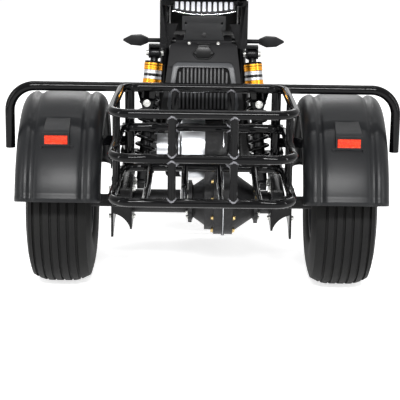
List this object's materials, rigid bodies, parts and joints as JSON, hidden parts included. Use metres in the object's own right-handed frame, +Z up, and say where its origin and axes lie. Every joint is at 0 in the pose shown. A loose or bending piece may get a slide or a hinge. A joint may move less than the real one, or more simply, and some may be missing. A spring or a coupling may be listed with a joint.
{
  "type": "electric trike",
  "caption": "Electric trike with a steered front wheel, driven rear wheels under wide wings, stepped seat, guard rail and tube cargo basket.",
  "frame": {"origin": "middle of the whole trike on the ground", "axes": "+X to the rider's right, +Y forward, +Z up"},
  "size_m": [1.066, 2.231, 1.1862],
  "materials": {
    "frame_paint": "gloss black powder coat",
    "rail_paint": "gloss black paint",
    "wing_plastic": "satin black moulded plastic",
    "cover_plastic": "fine grained black plastic",
    "tyre": "ribbed black rubber",
    "rim_paint": "satin dark grey paint",
    "machined": "turned steel",
    "motor_metal": "cast silver aluminium",
    "gear_paint": "black painted casting",
    "gold": "gold anodised",
    "spring_paint": "black coated wire",
    "red_lens": "red reflector",
    "lamp": "black gloss lamp body",
    "lamp_white": "white light bars",
    "leather": "black seat cover",
    "rubber": "soft black rubber",
    "chrome": "polished chrome"
  },
  "bodies": {
    "frame": {"main_frame": "frame_paint", "rear_rail": "rail_paint", "cargo_basket": "rail_paint", "wing_right": "wing_plastic", "wing_left": "wing_plastic", "reflectors": "red_lens", "gearbox": "gear_paint", "motor": "motor_metal", "axle_housing": "gear_paint", "swing_arms": "frame_paint", "shock_absorbers": "gold", "shock_springs": "spring_paint", "shock_bolts": "machined", "footboard": "rubber", "battery_case": "cover_plastic", "body_cover": "cover_plastic", "tail_cover": "cover_plastic", "tail_lamp": "lamp", "lamp_bars": "lamp_white", "charge_cap": "cover_plastic", "plate_bracket": "frame_paint", "rear_signals": "cover_plastic", "seat_pan": "cover_plastic", "rider_cushion": "leather", "passenger_cushion": "leather"},
    "steering": {"fork": "rail_paint", "front_fender": "wing_plastic", "headlamp": "lamp", "front_signals": "cover_plastic", "handlebar": "chrome", "grips": "rubber", "bar_controls": "cover_plastic", "bar_mirrors": "cover_plastic", "display": "cover_plastic"},
    "front_wheel": {"front_tyre": "tyre", "front_rim": "rim_paint", "front_disc": "machined"},
    "rear_wheel_right": {"rear_tyre_right": "tyre", "rear_rim_right": "rim_paint"},
    "rear_wheel_left": {"rear_tyre_left": "tyre", "rear_rim_left": "rim_paint"}
  },
  "joints": [
    {"name": "steering_turn", "type": "hinge", "parent": "frame", "child": "steering", "pos_m": [0, 0.61785, 0.68223], "axis": [0, -0.454, 0.891], "range_deg": [-35, 35]},
    {"name": "front_wheel_spin", "type": "hinge", "parent": "steering", "child": "front_wheel", "pos_m": [0, 0.8755, 0.24], "axis": [1, 0, 0], "continuous": true},
    {"name": "rear_wheel_right_spin", "type": "hinge", "parent": "frame", "child": "rear_wheel_right", "pos_m": [0.392, -0.5245, 0.23], "axis": [1, 0, 0], "continuous": true},
    {"name": "rear_wheel_left_spin", "type": "hinge", "parent": "frame", "child": "rear_wheel_left", "pos_m": [-0.392, -0.5245, 0.23], "axis": [1, 0, 0], "continuous": true}
  ]
}
